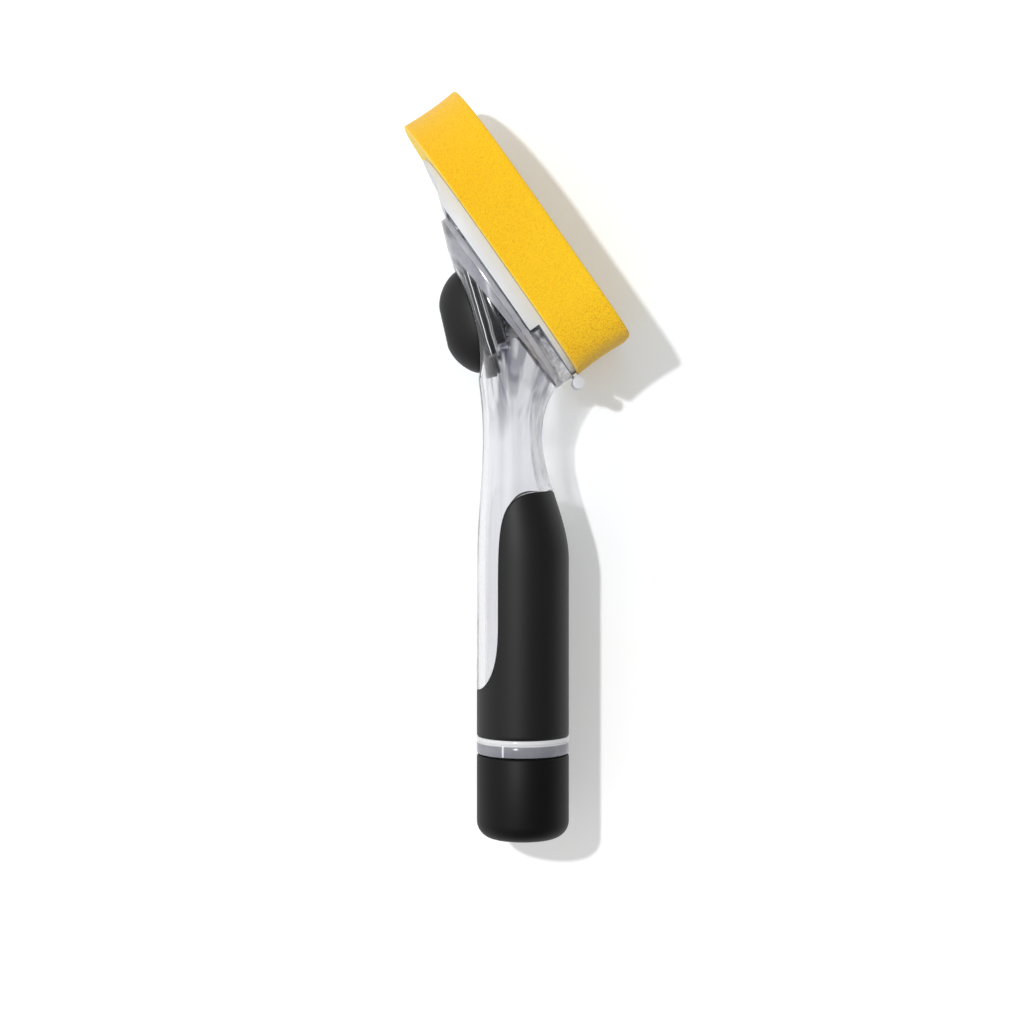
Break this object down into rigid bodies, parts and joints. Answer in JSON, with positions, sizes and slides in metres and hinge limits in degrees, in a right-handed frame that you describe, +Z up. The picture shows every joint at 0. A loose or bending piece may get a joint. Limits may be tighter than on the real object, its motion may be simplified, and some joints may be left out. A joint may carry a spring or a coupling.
{
  "type": "soap-dispensing dish wand",
  "caption": "Upright dish wand with a clear soap handle, rubber grip, thumb pump button, slanted head and clip-on yellow sponge refill.",
  "frame": {"origin": "centre of the cap's flat base, on the handle's axis", "axes": "+Z up along the handle to the head, +X to the sponge side; the wand is symmetric about the plane Y = 0"},
  "size_m": [0.0701, 0.059, 0.2352],
  "materials": {
    "clear_plastic": "clear moulded, polished",
    "grip_rubber": "soft matte black overmould",
    "black_plastic": "fine matte black moulding",
    "white_plastic": "milky white moulding, satin",
    "silicone": "translucent silicone",
    "foam": "fine open foam",
    "spring_steel": "drawn stainless wire"
  },
  "bodies": {
    "handle": {"reservoir": "clear_plastic", "grip_sleeve": "grip_rubber", "head_cover": "clear_plastic", "pump_housing": "black_plastic", "pump_chamber": "clear_plastic", "housing_gasket": "grip_rubber", "inlet_valve": "silicone", "outlet_valve": "silicone", "valve_retainer": "white_plastic", "outlet_grommet": "silicone", "return_spring": "spring_steel"},
    "button": {"button_pad": "grip_rubber", "button_core": "black_plastic", "piston": "black_plastic", "piston_seal": "silicone"},
    "cap_seal": {"cap_gasket": "silicone"},
    "cap": {"base_cap": "grip_rubber", "cap_core": "black_plastic"},
    "refill": {"sponge_plate": "white_plastic", "sponge": "foam"},
    "release_tab": {"release_tab": "white_plastic"}
  },
  "joints": [
    {"name": "button_press", "type": "slide", "parent": "handle", "child": "button", "axis": [0.9756, 0, 0.2197], "range_m": [0, 0.0024], "stiffness_N_per_m": 1500, "deforming": ["return_spring"]},
    {"name": "cap_travel", "type": "slide", "parent": "handle", "child": "cap_seal", "axis": [0, 0, -1], "range_m": [0, 0.006]},
    {"name": "cap_turn", "type": "hinge", "parent": "cap_seal", "child": "cap", "pos_m": [0, 0, 0.01], "axis": [0, 0, -1], "range_deg": [0, 720]},
    {"name": "refill_lift", "type": "hinge", "parent": "handle", "child": "refill", "pos_m": [-0.02426, 0, 0.19624], "axis": [0, -1, 0], "range_deg": [0, 30]},
    {"name": "tab_flex", "type": "hinge", "parent": "refill", "child": "release_tab", "pos_m": [0.01608, 0, 0.14649], "axis": [0, -1, 0], "range_deg": [0, 10], "stiffness_Nm_per_rad": 0.2}
  ],
  "couplings": [
    {"joint": "cap_travel", "follows": "cap_turn", "m_per_rad": 0.00047746}
  ]
}
